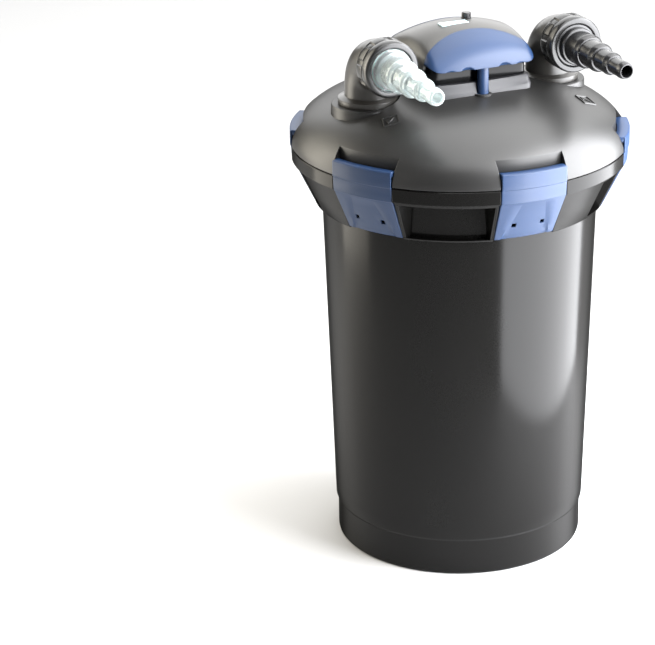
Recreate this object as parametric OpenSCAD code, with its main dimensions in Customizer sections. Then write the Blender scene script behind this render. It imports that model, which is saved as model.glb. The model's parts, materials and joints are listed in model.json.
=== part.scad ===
// Pressurized pond filter: a tapered canister with a clamped dome lid, two swivelling hose
// ports, a pull-up cleaning head and an ultraviolet lamp. Millimetres, +Z up, front towards -Y,
// origin at the centre of the base on the floor.

/* [Tank] */
// Height of the joint between tank and lid above the floor
seam_z = 478; // [400:1:580]
// Outside diameter of the tank wall at the foot of the collar
tank_top_d = 312; // [262:1:380]
// How much the wall's radius shrinks from the collar down to the base band
tank_draft = 11; // [6:1:16]
// Wall thickness of the tank
tank_wall = 4; // [3:0.5:6]
// Height of the base band
band_h = 45; // [30:1:60]
// How far the base band stands back from the wall above it
band_step = 2.5; // [1:0.5:4]

/* [Collar] */
// Radial overhang of the collar's rim over the tank wall
rim_overhang = 34; // [30:1:40]
// Height of the collar from its foot to the joint
collar_h = 67; // [62:1:80]
// Height of the collar's straight band
rim_band_h = 17; // [15:1:20]
// Wall thickness of the collar's skirt
skirt_wall = 3.5; // [2.5:0.5:5]
// Angle covered by one closed panel beside a hand pocket
panel_angle = 20; // [14:1:24]

/* [Lid] */
// Height of the dome above the joint
dome_h = 70; // [58:1:84]
// Wall thickness of the lid
lid_wall = 4; // [3:0.5:6]
// Width of the lid seal
seal_w = 6; // [5:0.5:8]
// Depth of the lid seal
seal_h = 4; // [3:0.5:5]

/* [Clamps] */
// Width of one clamp
clamp_w = 78; // [62:1:94]
// How much a clamp narrows at each side, from the collar's band to its foot
clamp_taper = 3.6; // [0:0.1:6]
// Height of the clamp above the joint
clamp_up = 22.5; // [21:0.5:26]
// Thickness of the clamp's shell
clamp_t = 4; // [3:0.5:5]
// Diameter of the hinge pins
pin_d = 4; // [3:0.5:5]

/* [Hose ports] */
// Distance between the axes of the two ports
port_spacing = 224; // [216:1:240]
// Outside diameter of the elbow's pipe
pipe_d = 52; // [42:1:62]
// Wall thickness of the elbow's pipe
pipe_wall = 5; // [4:0.5:6]
// Height of the elbow's outlet axis above the joint
outlet_up = 111; // [106:1:130]
// Length of the union nut
nut_l = 28; // [24:1:34]
// Length of each step of the stepped hose tails
step_l = 27; // [22:1:34]
// Diameters of the steps of the hose tails, from the nut to the tip
step_d = [38, 32, 25, 19];
// Wall thickness of the hose tails
tail_wall = 2.5; // [2:0.25:3]

/* [Cleaning head] */
// Width of the head from side to side
head_w = 136; // [116:1:150]
// Height of the cap's crown above the joint
crown_up = 137; // [132:1:160]
// Height of the cap's lower edge above the joint
cap_edge_up = 100; // [96:1:104]
// Half the depth of the cap from front to back
cap_half_d = 70; // [67:1:78]
// Radius of the cap's crown, seen from the side
crown_arc = 110; // [100:1:130]
// Radius of the cap's front and rear shoulders
shoulder_r = 38; // [30:1:44]
// Wall thickness of the cap and its grips
cap_wall = 4; // [3:0.5:5]
// Depth of the head's foot from front to back, at its ends
foot_depth = 108; // [96:1:116]
// Diameter of the pull rods
rod_d = 12.5; // [10:0.5:15]
// Distance of each pull rod from the middle of the head
rod_reach = 60; // [57:1:61]
// How far the head pulls up
lift = 110; // [60:1:112]
// Diameter of the lock button
button_d = 10.5; // [9:0.5:13]
// Travel of the lock button
button_travel = 4; // [2:0.5:5]

/* [Filter pack] */
// Outside diameter of the centre tube
tube_d = 96; // [80:1:98]
// Number of foam rings in the pack
foam_count = 6; // [4:2:8]
// Diameter of the quartz sleeve
sleeve_d = 42; // [34:1:50]
// Length of the quartz sleeve below the joint
sleeve_drop = 250; // [200:1:300]

/* [Hidden] */
$fn = 96;
fine = 180;         // facets used on the large rounds
run_gap = 0.05;     // radial clearance of a pin or spigot that turns in its bore
slide_gap = 0.5;    // clearance between pieces that move past each other
seat_gap = 0.3;     // clearance between stacked pieces of different bodies
clamp_gap = 0.8;    // side clearance of a clamp in its bay

// tank and collar
top_r = tank_top_d / 2;
rim_r = top_r + rim_overhang;
collar_z = seam_z - collar_h;
low_r = top_r - tank_draft;
band_r = low_r - band_step;
floor_t = 5;
foot_h = 3;
foot_w = 14;
flange_t = 12;
flange_r = rim_r - 14;
shelf_t = 4;
joint_gap = 0.8;
skirt_lip = 8;      // radial width of the collar's foot
web_t = 4;
cheek_t = 4;
rib_t = 2.5;
gap_angles = [-30, 30, 90, 150, 210, 270];

// lid
dome_power = 2.5;
dome_steps = 22;
rim_in_r = rim_r - 22;
seal_r = flange_r - 2 - seal_w;

// clamps
clamp_angles = [0, 60, 120, 180, 240, 300];
clamp_out_r = rim_r + 2;
clamp_mid_r = rim_r + 0.5;
clamp_foot_r = top_r + skirt_lip + 2;
clamp_low_z = collar_z + 2;
pin_r = pin_d / 2;
hinge_r = top_r + 4;
hinge_z = clamp_low_z + 9;
knuckle_r = pin_r + 2;
knuckle_l = 5;      // length of the round boss at each side of a clamp
window_x = 17;
window = 5;
hook_r = rim_r - 13;
ledge_r = rim_r - 6;
ledge_up = 11;
ledge_slope = tan(22);
hook_gap = 0.4;
hook_top_up = 17.5; // height of the hook's back above the joint
band_low_z = seam_z - rim_band_h;
bay_half = clamp_w / 2 + clamp_gap;
hinge_half = clamp_w / 2 - taper_at(hinge_z);
pin_grip = 2.6;     // length of pin held in each cheek

// ports
port_x = port_spacing / 2;
pipe_r = pipe_d / 2;
pipe_in_r = pipe_r - pipe_wall;
port_r = pipe_r + 3;
boss_r = pipe_r + 15;
boss_up = 58;
boss_low = 30;
well_r = pipe_r + 10;
oring_levels = [seam_z + boss_low + 6, seam_z + boss_low + 16];
elbow_foot_r = pipe_r + 7.5;
elbow_foot_h = 8;
bend_r = pipe_r + 8;
outlet_z = seam_z + outlet_up;
neck_y = bend_r + 8;
thread_r = pipe_r - 2.4;
thread_l = nut_l - 10;
nut_r = pipe_r + 6;
nut_back_y = neck_y + 1;
nut_front_y = nut_back_y + nut_l;
nut_lugs = 12;
nut_lug_depth = 2;
gasket_t = 2;
tail_flange_t = 3.5;
tail_flange_r = thread_r - 0.2;
tail_collar_r = tail_flange_r - 2.4;
tail_y = neck_y + thread_l + gasket_t;
tail_root = 8;      // length of the tail's collar inside and just before the nut

// head
end_drop = 15;      // how far the crown falls at the ends
crown_round = (pow(head_w / 2, 2) + pow(end_drop, 2)) / (2 * end_drop);
crown_z = seam_z + crown_up;
cap_edge_z = seam_z + cap_edge_up;
grip_arc = 116;     // radius of the joint between grip and cap, seen from above
grip_reach = 26;    // distance of that joint from the middle
pad_up = dome_h + 0.5;
foot_z = seam_z + pad_up;
foot_t = 12;
foot_w2 = head_w / 2 - 3;
foot_bulge = 6;
house_inset = cap_wall + 2.5;
house_top_up = 110;
house_wall = 3.5;
house_w2 = head_w / 2 - house_inset;
house_bulge = 3;
notch_r = 8.5;
rod_r = rod_d / 2;
rod_top = cap_edge_z + 5;
house_depth = 2 * (rod_reach - rod_r - 3 - house_bulge - slide_gap);
gland_r = rod_r + 3.5;
gland_h = 14;
button_at = [13, 9.5];
button_r = button_d / 2;
button_up = 6;
button_flange = 2;
button_stop_z = crown_z - cap_wall - 4;
button_flange_z = button_stop_z - seat_gap - button_flange;
spring_l = button_travel + 8;
cup_floor_z = button_flange_z - spring_l;
cup_r = button_r + 4.5;
label_at = [-9, -3];
label_size = [34, 16];
label_t = 2.2;
label_sunk = 2.6;   // depth of the plate's seat below the crown
gland_bore_r = 4;   // bore of the cable gland
cable_gland_r = 8;
cable_gland_l = 16;
gland_x = 40;
gland_y = house_depth / 2 - 5;
gland_z = foot_z + foot_t + 9;
screw_x = foot_w2 - 9;
screw_y = foot_depth / 2 - 12;

// filter pack
plate_z = 52;
plate_t = 7;
grid_t = 6;
grid_z = collar_z - 6;
pack_gap = 1;
tube_r = tube_d / 2;
tube_wall = 2.5;
tube_low_z = 26;
pack_r = wall_r(plate_z) - tank_wall - 4;
foam_low = plate_z + plate_t + pack_gap;
foam_h = (grid_z - pack_gap - foam_low) / foam_count;
sleeve_r = sleeve_d / 2;
sleeve_wall = 2;
sleeve_bore = sleeve_r + 16;
duct_r = pipe_in_r;
duct_wall = 3;
duct_top = seam_z + boss_low - 8;
duct_z = duct_top - duct_r - duct_wall;
stop_t = 4;         // bead on each pull rod that meets the lid at full lift
stop_z = seam_z + pad_up - gland_h - 2 - lift - stop_t;

// radius of the tank's outer wall at a height
function wall_r(z) = low_r + (top_r - low_r) * (z - band_h) / (collar_z - band_h);

// height of the dome above the joint at a radius
function dome_at(r, out_r = rim_r, h = dome_h) =
    h * sqrt(max(0, 1 - pow(r / out_r, dome_power)));

// points of a dome outline from its rim to the axis, closer together at the rim
function dome_points(out_r, h) =
    [for (i = [0 : dome_steps]) let(r = out_r * cos(90 * i / dome_steps))
        [max(r, 0), dome_at(r, out_r, h)]];

// collar outline at a depth below the joint
function skirt_r(drop) = drop <= rim_band_h + 1.5 ? rim_r - 3.5
    : rim_r - 3.5 - (drop - rim_band_h - 1.5) / (collar_h - rim_band_h - 1.5)
        * (rim_r - 3.5 - top_r - skirt_lip);

// how much narrower a bay is at a height than at the collar's band, at each side
function taper_at(z) = clamp_taper * max(0, band_low_z - z) / (band_low_z - collar_z);

module at_angle(a) { rotate([0, 0, a]) children(); }
module ring(out_r, in_r, h, facets = fine) {
    difference() {
        cylinder(r = out_r, h = h, $fn = facets);
        translate([0, 0, -1]) cylinder(r = in_r, h = h + 2, $fn = facets);
    }
}
// box centred on X that starts at y = -far and ends at y = -near, as seen from the front
module bay(w, near, far, z0, z1) {
    translate([-w / 2, -far, z0]) cube([w, far - near, z1 - z0]);
}
// plate or block seen from the front, whose sides lean inwards below the collar's band:
// u0 and u1 are its two sides there, measured from the middle of the bay
module leaning(u0, u1, near, far, z0, z1) {
    lean0 = u0 < 0 ? taper_at(z0) : -taper_at(z0);
    lean1 = u1 < 0 ? taper_at(z0) : -taper_at(z0);
    translate([0, -near, 0]) rotate([90, 0, 0]) linear_extrude(far - near) polygon([
        [u0 + lean0, z0], [u1 + lean1, z0], [u1, band_low_z], [u1, z1], [u0, z1], [u0, band_low_z]]);
}
// outline with straight ends and bowed front and back
module barrel(half_w, half_d, bulge) {
    bow = (half_w * half_w + bulge * bulge) / (2 * bulge);
    intersection() {
        translate([-half_w, -half_d - bulge]) square([2 * half_w, 2 * (half_d + bulge)]);
        translate([0, half_d + bulge - bow]) circle(r = bow, $fn = fine);
        translate([0, bow - half_d - bulge]) circle(r = bow, $fn = fine);
    }
}

module tank() {
    color([0.12, 0.12, 0.12]) rotate_extrude($fn = fine) {
        polygon([
            [0, foot_h], [band_r - foot_w, foot_h], [band_r - foot_w, 0], [band_r - 3, 0],
            [band_r, 3], [band_r, band_h - band_step], [low_r, band_h],
            [wall_r(seam_z - flange_t - 3), seam_z - flange_t - 3],
            [wall_r(seam_z - flange_t - 3), seam_z - flange_t], [flange_r, seam_z - flange_t],
            [flange_r, seam_z], [seal_r + seal_w, seam_z], [seal_r + seal_w, seam_z - seal_h],
            [seal_r, seam_z - seal_h], [seal_r, seam_z],
            [wall_r(seam_z - flange_t) - tank_wall, seam_z],
            [low_r - tank_wall, band_h],
            [band_r - tank_wall, band_h - band_step - tank_wall],
            [band_r - tank_wall, foot_h + floor_t], [0, foot_h + floor_t]]);
    }
}

module collar_shell() {
    shelf_z = seam_z - flange_t - shelf_t;
    rotate_extrude($fn = fine) polygon([
        [flange_r + seat_gap, seam_z - joint_gap], [rim_r, seam_z - joint_gap],
        [rim_r, seam_z - rim_band_h], [rim_r - 3.5, seam_z - rim_band_h - 1.5],
        [top_r + skirt_lip, collar_z], [top_r + slide_gap, collar_z],
        [wall_r(collar_z + web_t) + slide_gap, collar_z + web_t],
        [top_r + skirt_lip - skirt_wall + 2, collar_z + web_t],
        [skirt_r(rim_band_h + 6) - skirt_wall, seam_z - rim_band_h - 6],
        [skirt_r(rim_band_h + 6) - skirt_wall, shelf_z],
        [wall_r(shelf_z) + slide_gap + 1, shelf_z],
        [wall_r(shelf_z) + slide_gap + 1, seam_z - flange_t],
        [flange_r + seat_gap, seam_z - flange_t]]);
}
// space between the tank wall and the collar's skirt, where its plates stand
module collar_core() {
    shelf_z = seam_z - flange_t - shelf_t;
    rotate_extrude($fn = fine) polygon([
        [top_r + slide_gap + 1, collar_z + 1], [top_r + skirt_lip - 1.5, collar_z + 1],
        [rim_r - 5, seam_z - rim_band_h - 1.5], [rim_r - 5, shelf_z + 1],
        [wall_r(shelf_z) + slide_gap + 2, shelf_z + 1]]);
}
module plate_at(a, offset, t) {
    intersection() {
        collar_core();
        at_angle(a) translate([offset - t / 2, -rim_r - 5, collar_z]) cube([t, rim_r, collar_h]);
    }
}
module cheek(a, s) {
    intersection() {
        collar_core();
        at_angle(a) leaning(s > 0 ? bay_half : -bay_half - cheek_t, s > 0 ? bay_half + cheek_t : -bay_half,
            5, rim_r + 5, collar_z, seam_z);
    }
}
// wedge of the pocket band between two angles measured from the front
module pocket_wedge(a0, a1) {
    rotate([0, 0, a0 - 90]) rotate_extrude(angle = a1 - a0, $fn = fine) {
        translate([top_r + 1.5, collar_z + web_t])
            square([rim_overhang + 10, collar_h - web_t - rim_band_h - 3.5]);
    }
}
module collar() {
    edge = asin((bay_half + cheek_t) / (top_r + 20));
    half = 30 - edge;
    color([0.13, 0.13, 0.13]) difference() {
        union() {
            difference() {
                collar_shell();
                for (a = gap_angles) {
                    // the two gaps on the hand-grip axis are open all the way
                    full = (a == -30 || a == 150);
                    toward = (a == 30 || a == 210) ? 1 : -1;
                    start = full ? -half : (toward > 0 ? panel_angle - half : -half);
                    end = full ? half : (toward > 0 ? half : half - panel_angle);
                    pocket_wedge(a + start, a + end);
                }
                for (a = clamp_angles) at_angle(a) {
                    leaning(-bay_half, bay_half, rim_r - 9.5, rim_r + 5, collar_z - 1, seam_z);
                    leaning(-bay_half, bay_half, top_r - 10, rim_r + 5,
                        collar_z - 1, seam_z - flange_t - shelf_t);
                }
            }
            for (a = clamp_angles) for (s = [-1, 1]) cheek(a, s);
            // a rib closes the end of each panel beside a pocket
            for (a = gap_angles) if (a != -30 && a != 150)
                plate_at(a + (a == 30 || a == 210 ? 1 : -1) * (panel_angle - half), 0, rib_t);
        }
        for (a = clamp_angles) at_angle(a) translate([0, -hinge_r, hinge_z]) rotate([0, 90, 0])
            cylinder(r = pin_r, h = 2 * (hinge_half + clamp_gap + pin_grip), center = true);
    }
}

module lid() {
    difference() {
        color([0.2, 0.2, 0.2]) union() {
            rotate_extrude($fn = fine) difference() {
                polygon(concat([[0, seam_z]], [for (p = dome_points(rim_r, dome_h)) [p[0], seam_z + p[1]]]));
                intersection() {
                    polygon(concat([[0, seam_z - 1]], [[rim_in_r, seam_z - 1]],
                        [for (p = dome_points(rim_r - lid_wall, dome_h - lid_wall))
                            if (p[0] < rim_in_r) [p[0], seam_z + p[1]]]));
                    translate([0, seam_z - 1]) square([rim_in_r, dome_h]);
                }
            }
            translate([0, 0, seam_z + pad_up - 12])
                linear_extrude(12) barrel(foot_w2 - 1, foot_depth / 2 - 1, foot_bulge);
            for (s = [-1, 1]) translate([s * port_x, 0, seam_z + boss_low])
                cylinder(r = boss_r, h = boss_up - boss_low);
            for (s = [-1, 1]) translate([0, s * rod_reach, seam_z + pad_up - gland_h - 2])
                cylinder(r = gland_r + 4, h = gland_h - 4);
        }
        for (s = [-1, 1]) translate([s * port_x, 0, 0]) {
            translate([0, 0, seam_z + boss_low - 30]) cylinder(r = port_r, h = 60);
            translate([0, 0, seam_z + boss_up]) cylinder(r = well_r, h = 40);
        }
        for (s = [-1, 1]) translate([0, s * rod_reach, 0]) {
            translate([0, 0, seam_z + 20]) cylinder(r = rod_r + 1, h = dome_h);
            translate([0, 0, seam_z + pad_up - gland_h]) cylinder(r = gland_r, h = gland_h + 5);
        }
        translate([0, 0, seam_z]) cylinder(r = sleeve_r + 0.5, h = dome_h + 5);
        translate([0, 0, foot_z - 5.5]) cylinder(r = sleeve_r + 6.3, h = 10);
        for (x = [-1, 1], y = [-1, 1]) translate([x * screw_x, y * screw_y, seam_z + pad_up - 11])
            cylinder(r = 2, h = 20);
        for (a = clamp_angles) at_angle(a) clamp_notch();
    }
}
// room for one clamp in the lid's rim: a straight pocket and, above it, a sloping ledge
module clamp_notch() {
    w = clamp_w + 2 * clamp_gap;
    intersection() {
        bay(w, 0, rim_r + 5, seam_z - 1, seam_z + clamp_up + 14);
        rotate_extrude($fn = fine) polygon([
            [ledge_r, seam_z - 2], [rim_r + 6, seam_z - 2], [rim_r + 6, seam_z + clamp_up + 15],
            [hook_r - 1.2, seam_z + clamp_up + 15],
            [hook_r - 1.2, seam_z + ledge_up + ledge_slope * (ledge_r - hook_r + 1.2)],
            [ledge_r, seam_z + ledge_up]]);
    }
}

module lid_seal() {
    color([0.05, 0.05, 0.05]) translate([0, 0, seam_z - seal_h])
        ring(seal_r + seal_w, seal_r, seal_h);
}

module clamp(a) {
    hook_low = seam_z + ledge_up + hook_gap;
    rise = ledge_slope * (ledge_r - hook_r);
    color([0.22, 0.34, 0.58]) at_angle(a) difference() {
        union() {
            intersection() {
                leaning(-clamp_w / 2, clamp_w / 2, 5, rim_r + 10, clamp_low_z - 1, seam_z + clamp_up + 10);
                rotate_extrude($fn = fine) polygon([
                    [clamp_out_r - 1.5, seam_z + clamp_up], [clamp_out_r, seam_z + clamp_up - 1.5],
                    [clamp_out_r, seam_z - 2], [clamp_mid_r, seam_z - rim_band_h],
                    [clamp_foot_r, clamp_low_z], [clamp_foot_r - 2.5, clamp_low_z],
                    [clamp_foot_r - clamp_t + 3.5, clamp_low_z + 8],
                    [clamp_mid_r - clamp_t, seam_z - rim_band_h],
                    [clamp_out_r - clamp_t, seam_z - 2],
                    [clamp_out_r - clamp_t, hook_low],
                    [ledge_r, hook_low], [hook_r, hook_low + rise],
                    [hook_r, seam_z + hook_top_up], [clamp_out_r - clamp_t, seam_z + hook_top_up],
                    [clamp_out_r - clamp_t, seam_z + clamp_up]]);
            }
            for (s = [-1, 1]) translate([s * (hinge_half - knuckle_l / 2), -hinge_r, hinge_z])
                rotate([0, 90, 0]) cylinder(r = knuckle_r, h = knuckle_l, center = true);
            for (s = [-1, 1]) intersection() {
                leaning(s > 0 ? clamp_w / 2 - 3 : -clamp_w / 2, s > 0 ? clamp_w / 2 : 3 - clamp_w / 2,
                    5, rim_r + 5, clamp_low_z - 1, seam_z);
                rotate_extrude($fn = fine) polygon([
                    [clamp_mid_r - 1, seam_z - rim_band_h], [clamp_foot_r - 1, clamp_low_z + 2],
                    [top_r + 5, hinge_z - 3], [top_r + 5, hinge_z + 3],
                    [rim_r - 9, seam_z - flange_t - shelf_t - 2], [rim_r - 9, seam_z - rim_band_h]]);
            }
        }
        translate([0, -hinge_r, hinge_z]) rotate([0, 90, 0])
            cylinder(r = pin_r + run_gap, h = clamp_w + 4, center = true);
        // two small windows beside the middle of the lower panel
        for (s = [-1, 1]) translate([s * window_x - window / 2, -clamp_out_r, hinge_z + knuckle_r + 2])
            cube([window, 40, window]);
    }
}
module clamp_pins() {
    inner = hinge_half - knuckle_l;
    outer = hinge_half + clamp_gap + pin_grip;
    color([0.7, 0.7, 0.72]) for (a = clamp_angles, s = [-1, 1]) at_angle(a)
        translate([s * (inner + outer) / 2, -hinge_r, hinge_z]) rotate([0, 90, 0])
            cylinder(r = pin_r, h = outer - inner, center = true);
}

// moves its children to a port: s is -1 for the left port and 1 for the right one
module at_port(s) { translate([s * port_x, 0, 0]) children(); }
// turns a shape built along +Z so that it runs forward along the outlet's axis
module along_outlet(y) { translate([0, -y, outlet_z]) rotate([90, 0, 0]) children(); }

module elbow(s) {
    foot_z0 = seam_z + boss_up + seat_gap;
    bend_z = outlet_z - bend_r;
    color([0.24, 0.235, 0.225]) at_port(s) difference() {
        union() {
            translate([0, 0, seam_z + boss_low - 6])
                cylinder(r = port_r - run_gap, h = foot_z0 - seam_z - boss_low + 6);
            translate([0, 0, foot_z0]) cylinder(r = elbow_foot_r, h = elbow_foot_h - 2);
            translate([0, 0, foot_z0 + elbow_foot_h - 2])
                cylinder(r1 = elbow_foot_r, r2 = pipe_r, h = 2.5);
            translate([0, 0, foot_z0]) cylinder(r = pipe_r, h = bend_z - foot_z0);
            elbow_bend(pipe_r, bend_z);
            along_outlet(bend_r) cylinder(r = pipe_r, h = neck_y - bend_r);
            along_outlet(neck_y) cylinder(r = thread_r, h = thread_l);
        }
        translate([0, 0, seam_z + boss_low - 7]) cylinder(r = pipe_in_r, h = bend_z - seam_z - boss_low + 7);
        elbow_bend(pipe_in_r, bend_z);
        along_outlet(bend_r) cylinder(r = pipe_in_r, h = neck_y + thread_l);
        for (z = oring_levels) translate([0, 0, z])
            ring(port_r + 1, port_r - 2.6, 3.2);
        translate([0, 0, seam_z + boss_low - 4]) ring(port_r + 1, port_r - 2.5, 2);
    }
}
// quarter of a torus that turns the pipe from upright to level
module elbow_bend(r, bend_z) {
    intersection() {
        translate([0, -bend_r, bend_z]) rotate([0, 90, 0]) rotate_extrude($fn = 64)
            translate([bend_r, 0]) circle(r = r, $fn = 48);
        translate([-pipe_d, -bend_r, bend_z]) cube([2 * pipe_d, 2 * pipe_d, 2 * pipe_d]);
    }
}
module port_orings(s) {
    color([0.05, 0.05, 0.05]) at_port(s) for (z = oring_levels)
        translate([0, 0, z + 0.1]) ring(port_r - run_gap, port_r - 2.6, 3);
}
module port_clip(s) {
    color([0.7, 0.7, 0.72]) at_port(s) translate([0, 0, seam_z + boss_low - 3.9])
        difference() {
            ring(port_r + 4, port_r - 2.5, 1.8);
            translate([-4, 0, -1]) cube([8, port_r + 8, 4]);
        }
}
module nut(s) {
    color([0.1, 0.1, 0.105]) at_port(s) along_outlet(nut_back_y) difference() {
        union() {
            cylinder(r = nut_r - 1.5, h = 4);
            translate([0, 0, 3]) cylinder(r = nut_r, h = nut_l - 7);
            translate([0, 0, nut_l - 4]) cylinder(r = nut_r - 1.5, h = 4);
        }
        translate([0, 0, -1]) cylinder(r = thread_r + 0.4, h = thread_l + gasket_t + tail_flange_t + 1);
        translate([0, 0, -1]) cylinder(r = tail_collar_r + slide_gap, h = nut_l + 2);
        translate([0, 0, nut_l - 2.5]) cylinder(r1 = tail_collar_r + 1, r2 = tail_collar_r + 5, h = 4);
        for (i = [0 : nut_lugs - 1]) rotate([0, 0, 360 * (i + 0.5) / nut_lugs])
            translate([nut_r - nut_lug_depth, -3, -1]) cube([10, 6, nut_l - 6]);
    }
}
module tail_gasket(s) {
    color([0.1, 0.45, 0.42]) at_port(s) along_outlet(neck_y + thread_l)
        ring(tail_flange_r, pipe_in_r, gasket_t, 96);
}
module hose_tail(s, shade) {
    color(shade) at_port(s) along_outlet(tail_y) difference() {
        union() {
            cylinder(r = tail_flange_r, h = tail_flange_t);
            cylinder(r = tail_collar_r, h = tail_flange_t + tail_root);
            for (i = [0 : len(step_d) - 1]) {
                z = tail_flange_t + tail_root + i * step_l;
                r = step_d[i] / 2;
                translate([0, 0, z - 1]) cylinder(r = r, h = step_l - 3);
                translate([0, 0, z + step_l - 4]) cylinder(r1 = r, r2 = r - 1.6, h = 4);
            }
        }
        for (i = [0 : len(step_d) - 1]) {
            z = tail_flange_t + tail_root + i * step_l;
            translate([0, 0, i == 0 ? -1 : z - 5])
                cylinder(r = step_d[i] / 2 - tail_wall,
                h = (i == 0 ? z + 1 : 5) + step_l - (i == len(step_d) - 1 ? -1 : 4));
        }
    }
}

// outline of the cap from front to back: a crown arc that runs into two shoulder arcs
module cap_profile(inset) {
    crown_c = crown_round - crown_arc;
    lean = asin((cap_half_d - shoulder_r) / (crown_arc - shoulder_r));
    shoulder_c = crown_c + (crown_arc - shoulder_r) * cos(lean);
    for (s = [-1, 1]) translate([shoulder_c, s * (cap_half_d - shoulder_r)])
        circle(r = shoulder_r - inset, $fn = fine);
    translate([crown_round - crown_up, inset - cap_half_d])
        square([shoulder_c - crown_round + crown_up, 2 * (cap_half_d - inset)]);
    intersection() {
        translate([crown_c, 0]) circle(r = crown_arc - inset, $fn = 2 * fine);
        polygon([[crown_c, 0], [crown_c + 2 * crown_arc * cos(lean), -2 * crown_arc * sin(lean)],
            [crown_c + 2 * crown_arc * cos(lean), 2 * crown_arc * sin(lean)]]);
    }
}
// the cap's outline swept about a level axis far below the crown
module head_form(inset) {
    translate([0, 0, crown_z - crown_round]) rotate([90, 0, 0]) rotate([0, 0, 55])
        rotate_extrude(angle = 70, $fn = 2 * fine) intersection() {
            cap_profile(inset);
            translate([crown_round - crown_up + 1, -cap_half_d])
                square([crown_up + 1, 2 * cap_half_d]);
        }
}
module cap_block(inset, z0) {
    w = head_w - 2 * inset;
    intersection() {
        head_form(inset);
        translate([-w / 2, -cap_half_d - 1, z0]) cube([w, 2 * cap_half_d + 2, crown_up]);
    }
}
module cap_shell() {
    difference() {
        cap_block(0, cap_edge_z);
        cap_block(cap_wall, cap_edge_z - 1);
    }
}
module grip_zone(s) {
    translate([0, s * (grip_reach + grip_arc), cap_edge_z - 2])
        cylinder(r = grip_arc, h = crown_up, $fn = fine);
}
module handle_cap() {
    color([0.21, 0.21, 0.21]) difference() {
        union() {
            cap_shell();
            intersection() {
                cap_block(1, cap_edge_z);
                translate([button_at[0], button_at[1], button_stop_z]) cylinder(r = cup_r, h = 20);
            }
        }
        for (s = [-1, 1]) grip_zone(s);
        translate([button_at[0], button_at[1], cap_edge_z]) cylinder(r = button_r + slide_gap, h = 60);
        label_block(0, 10);
    }
}
module grip(s) {
    color([0.27, 0.4, 0.66]) difference() {
        union() {
            intersection() {
                cap_shell();
                grip_zone(s);
            }
            // socket for the pull rod
            intersection() {
                cap_block(1, cap_edge_z + 4);
                grip_zone(s);
                translate([0, s * rod_reach, cap_edge_z]) cylinder(r = rod_r + 3, h = 60);
            }
        }
        translate([0, s * rod_reach, cap_edge_z - 5]) cylinder(r = rod_r, h = rod_top - cap_edge_z + 5);
        for (x = [-45, -24, 24, 45]) translate([x, 0, cap_edge_z - 3]) rotate([90, 0, 0])
            cylinder(r = notch_r, h = 3 * cap_half_d, center = true);
    }
}
module label_block(inset, h) {
    translate([label_at[0] - label_size[0] / 2 + inset, label_at[1] - label_size[1] / 2 + inset,
        crown_z - label_sunk]) cube([label_size[0] - 2 * inset, label_size[1] - 2 * inset, h]);
}
module label_plate() { color([0.7, 0.82, 0.88]) label_block(0.2, label_t); }
module lock_button() {
    color([0.12, 0.12, 0.12]) translate([button_at[0], button_at[1], 0]) {
        translate([0, 0, button_flange_z]) cylinder(r = button_r + 2, h = button_flange);
        translate([0, 0, button_flange_z])
            cylinder(r = button_r, h = crown_z + button_up - button_flange_z - 1);
        translate([0, 0, crown_z + button_up - 1]) cylinder(r1 = button_r, r2 = button_r - 1, h = 1);
    }
}
module button_cup() {
    color([0.3, 0.3, 0.3]) translate([button_at[0], button_at[1], cup_floor_z - 2]) difference() {
        cylinder(r = cup_r, h = button_stop_z - cup_floor_z + 2);
        translate([0, 0, 2]) cylinder(r = cup_r - 2, h = 30);
    }
}
module button_spring() {
    color([0.7, 0.7, 0.72]) translate([button_at[0], button_at[1], cup_floor_z])
        ring(button_r, button_r - 1.2, spring_l, 48);
}

module head_foot() {
    color([0.33, 0.33, 0.34]) difference() {
        union() {
            translate([0, 0, foot_z + 1]) linear_extrude(foot_t - 5)
                barrel(foot_w2, foot_depth / 2, foot_bulge);
            translate([0, 0, foot_z + foot_t - 4]) linear_extrude(4)
                barrel(foot_w2 - 2.5, foot_depth / 2 - 2.5, foot_bulge);
        }
        translate([0, 0, foot_z]) cylinder(r = sleeve_bore, h = foot_t + 1);
        rod_grooves(foot_z, foot_t + 1);
        for (x = [-1, 1], y = [-1, 1]) translate([x * screw_x, y * screw_y, foot_z])
            cylinder(r = 2.2, h = foot_t + 1);
        for (x = [-1, 1], y = [-1, 1]) translate([x * screw_x, y * screw_y, foot_z + foot_t - 4])
            cylinder(r = 4.3, h = 10);
    }
}
// clearance round both pull rods
module rod_grooves(z, h) {
    for (s = [-1, 1]) translate([0, s * rod_reach, z]) cylinder(r = rod_r + 1, h = h);
}
module head_foot_gasket() {
    color([0.05, 0.05, 0.05]) translate([0, 0, foot_z]) difference() {
        linear_extrude(1) barrel(foot_w2 - 2, foot_depth / 2 - 2, foot_bulge);
        translate([0, 0, -1]) cylinder(r = sleeve_bore, h = 4);
        rod_grooves(-1, 4);
        for (x = [-1, 1], y = [-1, 1]) translate([x * screw_x, y * screw_y, -1])
            cylinder(r = 2.2, h = 4);
    }
}
module head_screws() {
    color([0.75, 0.75, 0.77]) for (x = [-1, 1], y = [-1, 1]) translate([x * screw_x, y * screw_y, 0]) {
        translate([0, 0, foot_z - 9]) cylinder(r = 1.9, h = 9 + foot_t - 4);
        translate([0, 0, foot_z + foot_t - 4]) difference() {
            cylinder(r = 3.8, h = 3);
            translate([0, 0, 1.5]) cylinder(r = 2, h = 3, $fn = 6);
        }
    }
}
module house_block(inset, z0, z1) {
    intersection() {
        head_form(house_inset + inset);
        translate([0, 0, z0]) linear_extrude(z1 - z0)
            barrel(house_w2 - inset, house_depth / 2 - inset, house_bulge);
    }
}
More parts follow.
